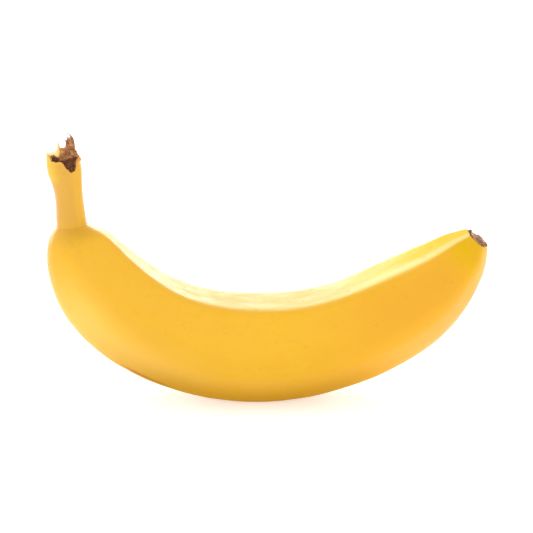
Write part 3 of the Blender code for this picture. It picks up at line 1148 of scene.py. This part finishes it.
class BANANA_OT_stage(bpy.types.Operator):
    """Set the table, the light and the camera"""

    bl_idname = "banana.stage"
    bl_label = "Table, light and camera"

    TABLE_HALF = 6.0  # half the table's side
    TABLE_GAP = 0.0001  # between the fruit and the table

    def execute(self, context):
        stage = context.scene.banana_stage
        self.lay_table(stage)
        self.light(context.scene, stage)
        self.aim_camera(context.scene, stage)
        return {"FINISHED"}

    def lay_table(self, stage):
        """A wide white table that glows a little, just under the fruit."""
        half = self.TABLE_HALF
        corners = [(-half, -half, 0), (half, -half, 0), (half, half, 0), (-half, half, 0)]
        mesh = bpy.data.meshes.new("table")
        mesh.from_pydata(corners, [], [(0, 1, 2, 3)])
        top = Recipe("table_white")
        top.set_shader(
            Base_Color=tone(stage.floor),
            Roughness=0.9,
            Emission_Color=WHITE,
            Emission_Strength=stage.table_glow,
        )
        mesh.materials.append(top.material)
        table = bpy.data.objects.new("table", mesh)
        table.location.z = fruit_low[2] - self.TABLE_GAP
        bpy.context.scene.collection.objects.link(table)

    def light(self, scene, stage):
        """A white room, dimmer overhead, with a bright low window behind that fades towards the tip."""
        world = bpy.data.worlds.new("white_room")
        world.use_nodes = True
        room = Wiring(world.node_tree)
        split = room.node("ShaderNodeSeparateXYZ")
        room.feed(split.inputs[0], room.node("ShaderNodeTexCoord").outputs["Generated"])
        x, y, z = split.outputs
        walls = room.ramp(y, -0.35, 0.40, stage.room_glow, stage.roof_glow)
        walls = room.larger(walls, room.ramp(z, 0.10, 0.34, stage.horizon_glow, 0.0))
        behind = room.ramp(y, 0.1, 0.75)
        low = room.ramp(z, 0.24, 0.46, 1.0, 0.0)
        stem_side = room.ramp(x, -0.1, 0.5, 1.0, 0.35)
        window = room.times(room.times(room.times(behind, low), stem_side), stage.back_glow)
        sky = room.tree.nodes["Background"]
        room.feed(sky.inputs["Color"], WHITE)
        room.feed(sky.inputs["Strength"], room.sum(window, walls))
        scene.world = world
        self.add_softbox(place=(0.0, 0.8, 1.05), target=(0, 0, 0.03), size=(2.2, 0.4), power=stage.softbox)
        scene.view_settings.view_transform = "Standard"

    def add_softbox(self, place, target, size, power):
        """A wide soft lamp that faces its target."""
        lamp = bpy.data.lights.new("softbox_high", "AREA")
        lamp.shape = "RECTANGLE"
        lamp.size, lamp.size_y = size
        lamp.energy = power
        box = bpy.data.objects.new("softbox_high", lamp)
        box.location = place
        box.rotation_euler = (Vector(target) - Vector(place)).to_track_quat("-Z", "Y").to_euler()
        bpy.context.scene.collection.objects.link(box)

    def aim_camera(self, scene, stage):
        """A long lens in front of the fruit, a little above the table."""
        lens = bpy.data.cameras.new("camera")
        lens.lens = stage.lens
        lens.sensor_width = 36.0
        camera = bpy.data.objects.new("camera", lens)
        target = Vector(stage.aim)
        back = Vector((0, -math.cos(stage.elevation), math.sin(stage.elevation)))
        camera.location = target + back * stage.distance
        camera.rotation_euler = (-back).to_track_quat("-Z", "Y").to_euler()
        scene.collection.objects.link(camera)
        scene.camera = camera


class BANANA_PT_panel(bpy.types.Panel):
    bl_idname = "BANANA_PT_panel"
    bl_label = "Banana"
    bl_space_type = "VIEW_3D"
    bl_region_type = "UI"
    bl_category = "Banana"

    def draw(self, context):
        scene = context.scene
        for group, operators in (
            (scene.banana_peel, (BANANA_OT_peel,)),
            (scene.banana_tear, (BANANA_OT_fibres, BANANA_OT_curl)),
            (scene.banana_blossom, (BANANA_OT_blossom,)),
            (scene.banana_stage, (BANANA_OT_stage,)),
        ):
            box = self.layout.box()
            for name in group.__annotations__:
                box.prop(group, name)
            for operator in operators:
                box.operator(operator.bl_idname)


CLASSES = (
    PeelSettings,
    TearSettings,
    BlossomSettings,
    StageSettings,
    BANANA_OT_peel,
    BANANA_OT_fibres,
    BANANA_OT_curl,
    BANANA_OT_blossom,
    BANANA_OT_stage,
    BANANA_PT_panel,
)


def register():
    for each in CLASSES:
        bpy.utils.register_class(each)
    bpy.types.Scene.banana_peel = PointerProperty(type=PeelSettings)
    bpy.types.Scene.banana_tear = PointerProperty(type=TearSettings)
    bpy.types.Scene.banana_blossom = PointerProperty(type=BlossomSettings)
    bpy.types.Scene.banana_stage = PointerProperty(type=StageSettings)


def unregister():
    del bpy.types.Scene.banana_stage
    del bpy.types.Scene.banana_blossom
    del bpy.types.Scene.banana_tear
    del bpy.types.Scene.banana_peel
    for each in reversed(CLASSES):
        bpy.utils.unregister_class(each)


def main():
    """Makes every piece in order."""
    register()
    bpy.ops.banana.peel()
    bpy.ops.banana.fibres()
    bpy.ops.banana.curl()
    bpy.ops.banana.blossom()
    bpy.ops.banana.stage()


if __name__ == "__main__":
    main()
